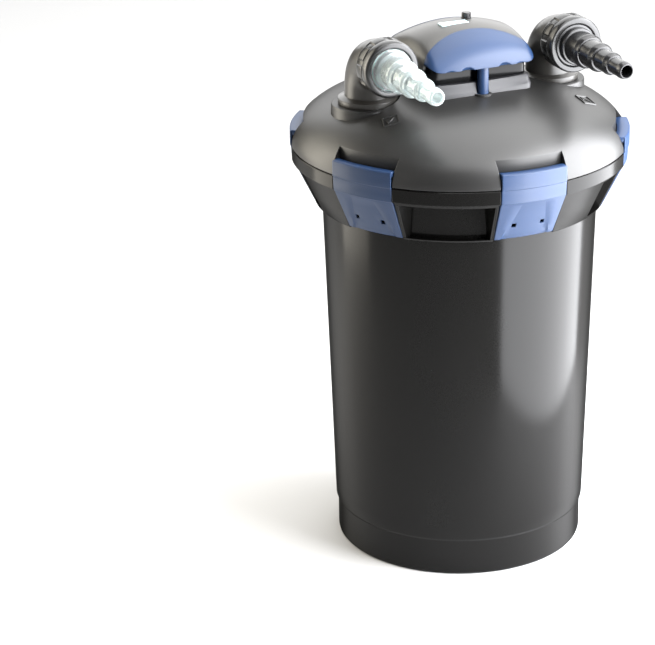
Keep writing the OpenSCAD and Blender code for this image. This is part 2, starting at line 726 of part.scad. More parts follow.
module head_housing() {
    z0 = foot_z + foot_t;
    z1 = seam_z + house_top_up;
    color([0.04, 0.04, 0.045]) difference() {
        house_block(0, z0, z1);
        house_block(house_wall, z0 + house_wall, z1 - house_wall);
        translate([0, 0, z0 - 1]) cylinder(r = sleeve_r + 10, h = house_wall + 2);
        rod_grooves(z0 - 1, z1);
        translate([-gland_x, cap_half_d, gland_z]) rotate([90, 0, 0])
            cylinder(r = cable_gland_r - 3, h = 60);
    }
}
module cable_gland() {
    color([0.08, 0.08, 0.08]) translate([-gland_x, gland_y, gland_z]) rotate([-90, 0, 0]) difference() {
        union() {
            cylinder(r = cable_gland_r - 3.05, h = 8);
            translate([0, 0, 8.5]) cylinder(r = cable_gland_r, h = 5, $fn = 6);
            translate([0, 0, 13.5]) cylinder(r = cable_gland_r - 1, h = cable_gland_l - 10);
            translate([0, 0, 7.5]) cylinder(r = cable_gland_r - 3.05, h = 2);
        }
        translate([0, 0, -1]) cylinder(r = gland_bore_r, h = 40);
    }
}

module pull_rod(s) {
    color([0.2, 0.33, 0.6]) translate([0, s * rod_reach, 0]) {
        translate([0, 0, plate_z + plate_t]) cylinder(r = rod_r, h = rod_top - plate_z - plate_t);
        translate([0, 0, plate_z - 8]) cylinder(r = rod_r - 2, h = plate_t + 9);
        translate([0, 0, stop_z]) cylinder(r = rod_r + 1.2, h = stop_t);
    }
}
module rod_nuts() {
    color([0.3, 0.3, 0.3]) for (s = [-1, 1]) translate([0, s * rod_reach, plate_z - 6]) difference() {
        cylinder(r = rod_r + 1.5, h = 6, $fn = 6);
        translate([0, 0, -1]) cylinder(r = rod_r - 2, h = 8);
    }
}
module rod_gland(s) {
    color([0.06, 0.06, 0.06]) translate([0, s * rod_reach, seam_z + pad_up - gland_h])
        ring(gland_r - 0.05, rod_r + run_gap, gland_h - 1, 96);
}
// round plate with slots that let the water through
module slotted_plate(r, in_r, t) {
    difference() {
        ring(r, in_r, t);
        for (k = [0 : 3]) ring_slots(in_r + 14 + k * (r - in_r - 16) / 4, t);
    }
}
module ring_slots(r, t) {
    for (i = [0 : 11]) rotate([0, 0, i * 30 + 15]) rotate_extrude(angle = 18, $fn = fine)
        translate([r, -1]) square([6, t + 2]);
}
module squeeze_plate() {
    color([0.25, 0.25, 0.26]) translate([0, 0, plate_z]) difference() {
        slotted_plate(pack_r, tube_r + slide_gap, plate_t);
        for (s = [-1, 1]) translate([0, s * rod_reach, -1]) cylinder(r = rod_r - 2, h = plate_t + 2);
    }
}
module foam_ring(i, shade) {
    color(shade) translate([0, 0, foam_low + i * foam_h]) difference() {
        ring(pack_r - 1, tube_r + 1, foam_h - pack_gap, 96);
        for (s = [-1, 1]) translate([0, s * rod_reach, -1]) cylinder(r = rod_r + 0.5, h = foam_h + 2);
    }
}
module foam_coarse() { for (i = [0 : 2 : foam_count - 2]) foam_ring(i, [0.15, 0.3, 0.65]); }
module foam_fine() { for (i = [1 : 2 : foam_count - 1]) foam_ring(i, [0.75, 0.15, 0.12]); }
module top_grid() {
    color([0.25, 0.25, 0.26]) translate([0, 0, grid_z]) difference() {
        slotted_plate(wall_r(grid_z) - tank_wall - 2, tube_r, grid_t);
        rod_grooves(-1, grid_t + 2);
    }
}
module centre_tube() {
    top = seam_z + pad_up - gland_h - 2;
    color([0.2, 0.2, 0.21]) difference() {
        union() {
            translate([0, 0, tube_low_z]) cylinder(r = tube_r, h = top - tube_low_z);
            translate([0, 0, grid_z + grid_t]) cylinder(r = tube_r + 3, h = 4);
        }
        translate([0, 0, tube_low_z - 1]) cylinder(r = tube_r - tube_wall, h = top);
        translate([-tube_r - 5, 0, duct_z]) rotate([0, 90, 0])
            cylinder(r = duct_r, h = tube_r);
        rod_grooves(grid_z, 30);
        for (i = [0 : 7]) rotate([0, 0, i * 45 + 22.5]) translate([tube_r - 6, -7, tube_low_z - 1])
            cube([12, 14, 15]);
    }
}
// cup under the inlet port and the pipe that leads from it to the centre tube
module inlet_duct() {
    low = duct_z - duct_r - duct_wall;
    sump_r = port_r + 4;
    color([0.2, 0.2, 0.21]) difference() {
        union() {
            translate([-port_x, 0, low]) cylinder(r = sump_r, h = duct_top - low);
            translate([-port_x, 0, duct_z]) rotate([0, 90, 0])
                cylinder(r = duct_r + duct_wall, h = port_x - tube_r / 2);
        }
        translate([-port_x, 0, low + duct_wall]) cylinder(r = sump_r - duct_wall, h = pipe_d + 20);
        translate([-port_x, 0, duct_z]) rotate([0, 90, 0]) cylinder(r = duct_r, h = port_x);
        cylinder(r = tube_r, h = 2 * seam_z);
    }
}
module quartz_sleeve() {
    top = foot_z + 2;
    color([0.8, 0.9, 0.95, 0.5]) difference() {
        union() {
            translate([0, 0, seam_z - sleeve_drop]) cylinder(r = sleeve_r, h = top - seam_z + sleeve_drop);
            translate([0, 0, seam_z - sleeve_drop]) sphere(r = sleeve_r);
            translate([0, 0, top - 3]) cylinder(r = sleeve_r + 3, h = 3);
        }
        translate([0, 0, seam_z - sleeve_drop]) cylinder(r = sleeve_r - sleeve_wall, h = 2 * seam_z);
        translate([0, 0, seam_z - sleeve_drop]) sphere(r = sleeve_r - sleeve_wall);
    }
}
module sleeve_seal() {
    color([0.05, 0.05, 0.05]) translate([0, 0, foot_z - 5.2]) ring(sleeve_r + 6, sleeve_r, 4, 96);
}
module sleeve_ring() {
    color([0.28, 0.28, 0.29]) translate([0, 0, foot_z + 2.2]) difference() {
        ring(sleeve_r + 14, sleeve_r - 2, 6, 96);
        for (i = [0 : 5]) rotate([0, 0, i * 60]) translate([sleeve_r + 10, -3, 3]) cube([8, 6, 6]);
    }
}
module uv_lamp() {
    color([0.9, 0.95, 1, 0.7]) for (s = [-1, 1])
        translate([s * 9, 0, seam_z - sleeve_drop + 12]) cylinder(r = 7.5, h = sleeve_drop + 20);
}
module lamp_base() {
    color([0.92, 0.92, 0.9]) translate([0, 0, seam_z + 32]) {
        cylinder(r = sleeve_r - sleeve_wall - 1, h = 24);
        for (x = [-9, -3, 3, 9]) translate([x, 0, 24]) cylinder(r = 1.2, h = 7);
    }
}
module lamp_socket() {
    color([0.88, 0.87, 0.84]) translate([0, 0, seam_z + 56]) difference() {
        cylinder(r = sleeve_r - sleeve_wall - 3, h = 22);
        for (x = [-9, -3, 3, 9]) translate([x, 0, -1]) cylinder(r = 1.3, h = 9);
    }
}

tank();
collar();
lid();
lid_seal();
clamp(clamp_angles[0]);  // clamp_1
clamp(clamp_angles[1]);  // clamp_2
clamp(clamp_angles[2]);  // clamp_3
clamp(clamp_angles[3]);  // clamp_4
clamp(clamp_angles[4]);  // clamp_5
clamp(clamp_angles[5]);  // clamp_6
clamp_pins();
elbow(-1);  // elbow_left
elbow(1);  // elbow_right
port_orings(-1);  // port_orings_left
port_orings(1);  // port_orings_right
port_clip(-1);  // port_clip_left
port_clip(1);  // port_clip_right
nut(-1);  // nut_left
nut(1);  // nut_right
tail_gasket(-1);  // tail_gasket_left
tail_gasket(1);  // tail_gasket_right
hose_tail(-1, [0.85, 0.95, 0.95, 0.6]);  // hose_tail_clear
hose_tail(1, [0.12, 0.12, 0.13]);  // hose_tail_black
head_foot();
head_foot_gasket();
head_housing();
head_screws();
handle_cap();
grip(-1);  // grip_front
grip(1);  // grip_rear
label_plate();
lock_button();
button_spring();
button_cup();
pull_rod(-1);  // pull_rod_front
pull_rod(1);  // pull_rod_rear
rod_nuts();
rod_gland(-1);  // rod_gland_front
rod_gland(1);  // rod_gland_rear
squeeze_plate();
foam_coarse();
foam_fine();
top_grid();
centre_tube();
inlet_duct();
quartz_sleeve();
sleeve_seal();
sleeve_ring();
uv_lamp();
lamp_base();
lamp_socket();
cable_gland();
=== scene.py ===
import json
from math import asin, cos, pi, radians, sin, sqrt

import bmesh
import bpy
from mathutils import Euler, Matrix, Vector


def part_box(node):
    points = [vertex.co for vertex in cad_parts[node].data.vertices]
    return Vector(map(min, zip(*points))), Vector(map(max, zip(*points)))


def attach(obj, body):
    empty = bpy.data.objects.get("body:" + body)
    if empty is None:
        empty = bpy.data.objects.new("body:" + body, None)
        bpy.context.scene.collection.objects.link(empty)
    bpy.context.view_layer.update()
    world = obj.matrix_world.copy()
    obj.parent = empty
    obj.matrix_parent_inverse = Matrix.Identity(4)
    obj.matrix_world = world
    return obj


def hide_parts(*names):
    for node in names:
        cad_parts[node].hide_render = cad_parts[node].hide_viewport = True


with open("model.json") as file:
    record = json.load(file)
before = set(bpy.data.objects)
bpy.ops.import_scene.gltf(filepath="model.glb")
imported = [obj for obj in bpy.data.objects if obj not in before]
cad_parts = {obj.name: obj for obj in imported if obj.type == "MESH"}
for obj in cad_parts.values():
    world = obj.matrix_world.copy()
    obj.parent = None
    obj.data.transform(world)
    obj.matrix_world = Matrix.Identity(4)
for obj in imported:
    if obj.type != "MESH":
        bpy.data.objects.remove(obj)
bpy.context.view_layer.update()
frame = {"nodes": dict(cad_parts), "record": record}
parts = frame["nodes"]
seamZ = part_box("tank")[1].z     # joint between tank and lid
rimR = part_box("lid")[1].x
print("frame loaded", len(parts), "parts")

camera = {"place": (-1.2792, -2.6579, 1.4184), "tilt": 68.48, "turn": -22.74, "roll": -0.99, "lens": 150.07}


def makeCamera(c):
    data = bpy.data.cameras.new("camera")
    data.lens = c["lens"]
    data.sensor_width = 36
    data.sensor_fit = "HORIZONTAL"
    view = bpy.data.objects.new("camera", data)
    bpy.context.scene.collection.objects.link(view)
    look = Euler((radians(c["tilt"]), 0, radians(c["turn"]))).to_matrix().to_4x4()
    view.matrix_world = Matrix.Translation(c["place"]) @ look @ Matrix.Rotation(radians(c["roll"]), 4, "Z")
    bpy.context.scene.camera = view


makeCamera(camera)

studio = {
    # place and aim in metres, size in metres, power in watts, tint
    "lamps": {
        "key": ((1.85, -1.0, 1.15), (0, 0, 0.35), (2.7, 2.1), 90, (0.96, 0.97, 1.0)),
        "panel": ((0.345, -0.32, 0.56), (0, 0, 0.56), (0.8, 1.1), 38, (0.96, 0.97, 1.0)),
        "side": ((-1.45, 1.5, 1.1), (0, 0, 0.35), (1.4, 2.0), 30, (1.0, 0.94, 0.80)),
        "strip": ((-0.88, 0.46, 0.56), (0, 0, 0.56), (0.55, 1.1), 9, (1.0, 0.94, 0.82)),
        "fill": ((-2.3, -0.35, 1.0), (0, 0, 0.35), (1.8, 1.9), 9, (1.0, 0.97, 0.92)),
        "back": ((1.35, 2.9, 2.0), (0, 0, 0.35), (4.4, 3.0), 120, (1.0, 1.0, 1.0)),
        "top": ((0.55, -0.2, 2.3), (0, 0, 0.35), (3.0, 2.2), 100, (1.0, 1.0, 1.0)),
    },
    "sky": (1.0, 1.0, 1.0),
    "skyStrength": 0.10,
    "floorHalf": 14,
}


def makeStudio(s):
    for name, (place, aim, size, watts, tint) in s["lamps"].items():
        data = bpy.data.lights.new(name, "AREA")
        data.shape = "RECTANGLE"
        data.size, data.size_y = size
        data.energy = watts
        data.color = tint
        light = bpy.data.objects.new(name, data)
        bpy.context.scene.collection.objects.link(light)
        light.visible_camera = False
        turn = (Vector(aim) - Vector(place)).to_track_quat("-Z", "Y")
        light.matrix_world = Matrix.Translation(place) @ turn.to_matrix().to_4x4()
    world = bpy.data.worlds.new("studio")
    bpy.context.scene.world = world
    world.use_nodes = True
    sky = world.node_tree.nodes["Background"]
    sky.inputs["Color"].default_value = (*s["sky"], 1)
    sky.inputs["Strength"].default_value = s["skyStrength"]
    mesh = bpy.data.meshes.new("floor")
    half = s["floorHalf"]
    mesh.from_pydata([(-half, -half, 0), (half, -half, 0), (half, half, 0), (-half, half, 0)], [], [(0, 1, 2, 3)])
    floor = bpy.data.objects.new("floor", mesh)
    bpy.context.scene.collection.objects.link(floor)
    bpy.context.scene.view_settings.view_transform = "Standard"
    return floor


floor = makeStudio(studio)
print("camera and studio ready")


class Value:
    # one shader value; + and * on it add Math nodes
    def __init__(self, look, out):
        self.look, self.out = look, out

    def sum(self, operation, a, b):
        return self.look.node("ShaderNodeMath", {"operation": operation}, {0: a, 1: b})

    def __add__(self, other): return self.sum("ADD", self, other)
    def __radd__(self, other): return self.sum("ADD", other, self)
    def __mul__(self, other): return self.sum("MULTIPLY", self, other)
    def __rmul__(self, other): return self.sum("MULTIPLY", other, self)


class Look:
    # one material and its nodes
    def __init__(self, name):
        self.material = bpy.data.materials.new(name)
        self.material.use_nodes = True
        self.tree = self.material.node_tree
        self.shader = self.tree.nodes["Principled BSDF"]

    def feed(self, socket, value):
        if isinstance(value, Value):
            self.tree.links.new(value.out, socket)
        elif isinstance(value, tuple) and len(value) == 3 and socket.type == "RGBA":
            socket.default_value = (*value, 1)
        else:
            socket.default_value = value

    def node(self, kind, settings, inputs, out=0):
        made = self.tree.nodes.new(kind)
        for key, value in settings.items():
            setattr(made, key, value)
        for key, value in inputs.items():
            self.feed(made.inputs[key], value)
        return Value(self, made.outputs[out])

    def spot(self):
        return self.node("ShaderNodeNewGeometry", {}, {}, "Position")

    def noise(self, scale, detail=3, stretch=(1, 1, 1)):
        place = self.node("ShaderNodeMapping", {}, {"Vector": self.spot(), "Scale": stretch})
        return self.node("ShaderNodeTexNoise", {}, {"Vector": place, "Scale": scale, "Detail": detail})

    def mix(self, share, a, b):
        return self.node("ShaderNodeMix", {"data_type": "RGBA"}, {0: share, 6: a, 7: b}, 2)

    def bump(self, height, strength, distance, soften=0.0):
        # soften rounds every edge of the piece a little in its shading
        inputs = {"Height": height, "Strength": strength, "Distance": distance}
        if soften:
            inputs["Normal"] = self.node("ShaderNodeBevel", {"samples": 4}, {"Radius": soften})
        return self.node("ShaderNodeBump", {}, inputs)

    def fade(self, amount, shade):
        # painted shade: where the wall turns edge-on the gloss gives way to a dark matt colour, which stands in for the
        # dark reflection there
        facing = self.node("ShaderNodeLayerWeight", {}, {"Blend": 0.5}, "Facing")
        share = self.node("ShaderNodeMapRange", {"interpolation_type": "SMOOTHSTEP"},
                          {"Value": facing, "From Min": 0.50, "From Max": 0.86, "To Max": amount})
        paintedRimShade = self.node("ShaderNodeBsdfDiffuse", {}, {"Color": shade})
        both = self.node("ShaderNodeMixShader", {}, {0: share, 1: Value(self, self.shader.outputs[0]), 2: paintedRimShade})
        self.tree.links.new(both.out, self.tree.nodes["Material Output"].inputs["Surface"])

    def set(self, **values):
        for key, value in values.items():
            self.feed(self.shader.inputs[key.replace("_", " ")], value)
        return self


def plastic(name, shade, light, rough, grain=0.12, grainScale=900, streaks=0.0, rimShade=0.0, gloss=0.5):
    # moulded plastic: faint flow clouds, fine spark grain and dust-soft patches of gloss
    look = Look(name)
    clouds = look.noise(7, 4)
    fine = look.noise(grainScale, 2)
    flow = look.noise(60, 2, (1, 1, 0.04))
    tone = look.mix(clouds * 0.7 + fine * 0.3, shade, light)
    look.set(Base_Color=tone, Roughness=rough - 0.06 + clouds * 0.08 + fine * 0.05 + flow * streaks)
    look.set(Normal=look.bump(fine + flow * streaks, grain, 0.0002, 0.0008))
    look.set(Specular_IOR_Level=gloss)
    # painted shade on the rims where the wall turns edge-on, in place of the gloss
    if rimShade:
        look.fade(rimShade, shade)
    return look


def rubber(name, shade, light):
    return plastic(name, shade, light, 0.62, 0.2, 1400)


def metal(name, shade, rough):
    look = Look(name)
    brush = look.noise(400, 2, (1, 1, 0.1))
    look.set(Base_Color=look.mix(brush, shade, tuple(0.8 * c for c in shade)))
    look.set(Metallic=1.0, Roughness=rough - 0.05 + brush * 0.12, Normal=look.bump(brush, 0.08, 0.0002))
    return look


def clear(name, shade, rough, weight=1.0):
    look = Look(name)
    clouds = look.noise(30, 2)
    look.set(Base_Color=look.mix(clouds, shade, tuple(min(1, 1.06 * c) for c in shade)))
    look.set(Roughness=rough + clouds * 0.03, Normal=look.bump(look.noise(90, 2), 0.03, 0.0004))
    look.set(Transmission_Weight=weight, IOR=1.45)
    return look


def foam(name, shade, light):
    look = Look(name)
    cells = look.node("ShaderNodeTexVoronoi", {"feature": "F1"}, {"Vector": look.spot(), "Scale": 420})
    look.set(Base_Color=look.mix(cells, shade, light), Roughness=0.92, Normal=look.bump(cells, 0.9, 0.0015))
    return look


# looks given a dull share get painted shade on their edge-on rims in place of the gloss
looks = {
    "tank_plastic": plastic("tankPlastic", (0.0032, 0.0031, 0.0029), (0.0055, 0.0053, 0.005), 0.15, 0.02, 700,
                            streaks=0.02, rimShade=0.93, gloss=0.15),
    "lid_plastic": plastic("lidPlastic", (0.011, 0.0108, 0.0104), (0.017, 0.0167, 0.0162), 0.37, 0.03, 800, rimShade=0.5),
    "seal_rubber": rubber("sealRubber", (0.008, 0.008, 0.008), (0.015, 0.015, 0.015)),
    "green_rubber": rubber("tealGasket", (0.02, 0.30, 0.26), (0.03, 0.40, 0.35)),
    "steel": metal("stainlessSteel", (0.62, 0.62, 0.64), 0.3),
    "elbow_plastic": plastic("elbowPlastic", (0.020, 0.019, 0.017), (0.032, 0.030, 0.027), 0.30, 0.06),
    "nut_plastic": plastic("nutPlastic", (0.008, 0.008, 0.008), (0.014, 0.014, 0.014), 0.22, 0.05),
    "clear_plastic": clear("clearPlastic", (0.80, 0.87, 0.87), 0.05, 0.78),
    "black_plastic": plastic("blackPlastic", (0.008, 0.008, 0.0085), (0.014, 0.014, 0.015), 0.22, 0.05),
    "foot_plastic": plastic("footPlastic", (0.016, 0.016, 0.018), (0.024, 0.024, 0.027), 0.40, 0.05,
                            rimShade=0.6, gloss=0.4),
    "gloss_black": plastic("glossBlack", (0.0015, 0.0015, 0.0017), (0.003, 0.003, 0.0035), 0.12, 0.01, 500,
                           rimShade=0.9, gloss=0.12),
    "cap_plastic": plastic("capPlastic", (0.030, 0.029, 0.027), (0.044, 0.043, 0.040), 0.36, 0.08),
    "blue_plastic": plastic("bluePlastic", (0.010, 0.027, 0.072), (0.014, 0.034, 0.088), 0.36, 0.05,
                            rimShade=0.5, gloss=0.36),
    "label": plastic("blankPlate", (0.42, 0.56, 0.60), (0.52, 0.66, 0.70), 0.25, 0.03),
    "inner_plastic": plastic("innerPlastic", (0.02, 0.02, 0.02), (0.03, 0.03, 0.03), 0.45),
    "foam_blue": foam("coarseFoam", (0.01, 0.04, 0.22), (0.03, 0.10, 0.42)),
    "foam_red": foam("fineFoam", (0.28, 0.02, 0.015), (0.5, 0.05, 0.03)),
    "quartz": clear("quartzGlass", (0.93, 0.97, 0.99), 0.02),
    "lamp_glass": clear("lampGlass", (0.95, 0.97, 1.0), 0.04, 0.7),
    "white_plastic": plastic("whiteCeramic", (0.72, 0.72, 0.70), (0.80, 0.80, 0.78), 0.22, 0.03),
}
floorLook = Look("paleFloor")
floorLook.set(Base_Color=floorLook.mix(floorLook.noise(0.8, 3), (0.50, 0.50, 0.50), (0.54, 0.54, 0.54)), Roughness=0.8)
floor.data.materials.append(floorLook.material)
slotOf = {piece["node"]: piece["material_slot"] for piece in frame["record"]["subparts"]}
for name, part in parts.items():
    part.data.materials.clear()
    part.data.materials.append(looks[slotOf[name]].material)
    for face in part.data.polygons:
        face.material_index = 0
print("materials ready", len(looks))

mm = 0.001
seam = seamZ / mm       # the outlines below are in millimetres


def at(a, u, r, z):
    # point on a circle of radius r, u sideways from the middle of the bay at angle a
    y = -sqrt(max(r * r - u * u, 0))
    return (mm * (u * cos(a) - y * sin(a)), mm * (u * sin(a) + y * cos(a)), mm * z)


class Form:
    # vertices and faces of a piece while it is being put together
    def __init__(self):
        self.verts, self.faces = [], []

    def rows(self, rows, closed=False, skip=()):
        base, wide = len(self.verts), len(rows[0])
        for row in rows:
            self.verts += row
        for i in range(len(rows) - 1):
            for j in range(wide if closed else wide - 1):
                if (i, j) not in skip:
                    k = (j + 1) % wide
                    self.faces.append([base + i * wide + j, base + i * wide + k,
                                       base + (i + 1) * wide + k, base + (i + 1) * wide + j])
        return self

    def cap(self, row):
        base = len(self.verts)
        self.verts += row
        self.faces.append(list(range(base, base + len(row))))
        return self

    def solid(self, rows):
        # closed rows with both ends filled in
        return self.rows(rows, closed=True).cap(rows[0]).cap(rows[-1])

    def lathe(self, outline, steps=240, x=0.0, y=0.0):
        # closed outline of (radius, height) turned about an upright axis
        rows = [[(x + mm * r * cos(2 * pi * i / steps), y + mm * r * sin(2 * pi * i / steps), mm * z)
                 for r, z in outline] for i in range(steps)]
        return self.rows(rows + rows[:1], closed=True)

    def sweep(self, a, outline, u0, u1, steps=30, lean=lambda z: 1.0):
        # closed outline of (radius, height) swept straight across a bay
        rows = [[at(a, (u0 + (u1 - u0) * i / steps) * lean(z), r, z) for r, z in outline] for i in range(steps + 1)]
        return self.solid(rows)

    def wedge(self, outline, a0, a1, steps=30):
        # closed outline turned from one angle to another, measured from the front
        rows = [[at(a0 + (a1 - a0) * i / steps, 0, r, z) for r, z in outline] for i in range(steps + 1)]
        return self.solid(rows)

    def mesh(self, name):
        mesh = bpy.data.meshes.new(name)
        mesh.from_pydata(self.verts, [], self.faces)
        work = bmesh.new()
        work.from_mesh(mesh)
        bmesh.ops.remove_doubles(work, verts=work.verts, dist=1e-6)
        bmesh.ops.recalc_face_normals(work, faces=work.faces)
        work.to_mesh(mesh)
        work.free()
        return mesh

    def loose(self, name):
        thing = bpy.data.objects.new(name, self.mesh(name))
        bpy.context.scene.collection.objects.link(thing)
        return thing


def shadeByAngle(mesh, angle):
    for face in mesh.polygons:
        face.use_smooth = True
    mesh.set_sharp_from_angle(angle=radians(angle))


def carve(thing, cutter, operation="DIFFERENCE"):
    # cuts one closed form out of another for good
    tool = cutter.loose("cutter")
    cut = thing.modifiers.new("cut", "BOOLEAN")
    cut.operation, cut.solver, cut.object = operation, "EXACT", tool
    bake(thing)
    bpy.data.objects.remove(tool)


def bake(thing):
    done = bpy.data.meshes.new_from_object(thing.evaluated_get(bpy.context.evaluated_depsgraph_get()))
    thing.modifiers.clear()
    thing.data = done


def joinInto(thing, part):
    # puts a second form's faces into the first piece
    joined = bmesh.new()
    joined.from_mesh(thing.data)
    joined.from_mesh(part.data)
    joined.to_mesh(thing.data)
    joined.free()
    bpy.data.objects.remove(part)


def finishPiece(thing, slot, body, stands=(), angle=30, bevel=0.0):
    thing.data.materials.clear()
    thing.data.materials.append(looks[slot].material)
    if bevel:
        edge = thing.modifiers.new("edge", "BEVEL")
        edge.width, edge.segments, edge.limit_method, edge.angle_limit = bevel * mm, 2, "ANGLE", radians(35)
        edge.use_clamp_overlap = True
        bake(thing)
    shadeByAngle(thing.data, angle)
    if stands:
        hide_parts(*stands)
    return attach(thing, body)


rim = {"bayHalf": 39.9, "footTaper": 3.6, "clampHalf": 39.0, "bandLow": seam - 17, "foot": seam - 67}


def narrow(z):
    # how much a bay and its clamp close in towards the foot
    drop = max(0, rim["bandLow"] - z) / (rim["bandLow"] - rim["foot"])
    return 1 - rim["footTaper"] / rim["bayHalf"] * drop


clampShape = {
    "outR": 191.4, "midR": 189.6, "footR": 166, "foot": seam - 65, "top": seam + 17.5, "wall": 2.0,
    "scoopTop": seam - 19, "scoopHalf": 17, "scoopFoot": 29, "scoopDeep": 1.6, "scoopWall": 2.4,
    "window": (14.5, 19.5), "windowZ": (seam - 45, seam - 50),
}


def clampRadius(c, z):
    if z > seam - 0.5:
        return c["outR"] - (1.4 if z > c["top"] - 0.5 else 0)
    if z > rim["bandLow"]:
        return c["midR"] + 0.9 * (z - rim["bandLow"]) / 17
    return c["midR"] - 0.9 - (c["midR"] - c["footR"]) * (rim["bandLow"] - z) / (rim["bandLow"] - c["foot"])


def makeClamp(c, number):
    a = radians(60 * (number - 1))
    heights = [c["top"], c["top"] - 1.2, seam + 11, seam + 5, seam - 0.4, seam - 1.0, seam - 9, rim["bandLow"] + 0.3,
               rim["bandLow"] - 0.3, c["scoopTop"], c["scoopTop"] - 2, seam - 30, seam - 37, *c["windowZ"],
               seam - 56, seam - 61, c["foot"]]
    rows = []
    for z in heights:
        half = rim["clampHalf"] * narrow(z)
        down = max(0, c["scoopTop"] - z) / (c["scoopTop"] - c["foot"])
        side = c["scoopHalf"] + (c["scoopFoot"] - c["scoopHalf"]) * down
        deep = 0 if z >= c["scoopTop"] else 0.8 + (c["scoopDeep"] - 0.8) * down
        floor = side - c["scoopWall"]
        spots = [0, 7, min(c["window"][0], 0.7 * floor), min(c["window"][1], 0.93 * floor), floor, side,
                 0.5 * (side + half), half - 1.5, half]
        full = [-u for u in reversed(spots[1:])] + spots
        r = clampRadius(c, z)
        rows.append([at(a, u, r - (deep if abs(u) <= floor + 0.01 else 0), z) for u in full])
    w = heights.index(c["windowZ"][0])
    middle = len(spots) - 1
    skip = {(w, middle + 2), (w, middle - 3)}
    thing = Form().rows(rows, skip=skip).loose("clamp_shell_%d" % number)
    shell = thing.modifiers.new("wall", "SOLIDIFY")
    shell.thickness, shell.offset = c["wall"] * mm, -1
    bake(thing)
    inside = Form()
    inside.sweep(a, [(c["outR"] - 2.5, seam + 11.4), (rimR / mm - 6, seam + 11.4), (rimR / mm - 13, seam + 14.2),
                     (rimR / mm - 13, seam + 15.6), (rimR / mm - 7, seam + 17.3), (c["outR"] - 1.6, seam + 17.4)],
                 -38.6, 38.6, 24, narrow)
    for side in (-1, 1):
        inside.sweep(a, [(c["midR"] - 1.5, rim["bandLow"]), (c["footR"] - 1.2, c["foot"] + 2), (161, c["foot"] + 6),
                         (161, c["foot"] + 12), (rimR / mm - 9, seam - 18), (rimR / mm - 9, rim["bandLow"])],
                     side * 35.8, side * 38.6, 1, narrow)
    joinInto(thing, inside.loose("inside"))
    name = "clamp_%d" % number
    finishPiece(thing, "blue_plastic", name, [name], 28, 0.45)


for number in range(1, 7):
    makeClamp(clampShape, number)
print("clamps ready")

tankShape = {
    "bandH": 45, "bandStep": 2.5, "draft": 11, "topR": 156, "wall": 4, "flange": 12,
    "under": 3.2, "floor": 8, "plugR": 20,      # bottom of the floor, its top, and the filled middle
}


def makeTank(t):
    low = t["topR"] - t["draft"]
    band = low - t["bandStep"]
    slope = (t["topR"] - low) / (rim["foot"] - t["bandH"])
    wallR = lambda z: low + slope * (z - t["bandH"])
    neck = seam - t["flange"]
    outline = [(t["plugR"], t["under"]), (band - 14, t["under"]), (band - 13, 0.2), (band - 3.5, 0), (band - 1.6, 0.6),
               (band - 0.5, 1.9), (band, 3.8), (band, t["bandH"] - 3.4), (band + 0.25, t["bandH"] - 2.4),
               (low - 0.5, t["bandH"] - 0.7), (low, t["bandH"] + 0.8)]
    outline += [(wallR(z), z) for z in range(60, int(neck) - 4, 15)]
    outline += [(wallR(neck - 3), neck - 3), (wallR(neck), neck), (rimR / mm - 14, neck), (rimR / mm - 14, seam),
                (wallR(neck) - t["wall"], seam), (low - t["wall"], t["bandH"]), (band - t["wall"], t["floor"]),
                (t["plugR"], t["floor"])]
    thing = Form().lathe(outline, 288).loose("tank_shell")
    r, steps = t["plugR"] + 0.5, 48
    disc = [(mm * r * cos(2 * pi * i / steps), mm * r * sin(2 * pi * i / steps)) for i in range(steps)]
    plug = Form().solid([[(x, y, mm * z) for x, y in disc] for z in (t["under"], t["floor"])])
    joinInto(thing, plug.loose("plug"))
    return finishPiece(thing, "tank_plastic", "canister", ["tank"], 40)


makeTank(tankShape)
print("tank ready")

collarShape = {
    "wall": 3.5, "topGap": 0.8, "panel": 20, "pocketHalf": 17.0, "cheek": 3.4, "lip": 2.8,
    "pocketTop": seam - 20.5, "footR": 164,
}


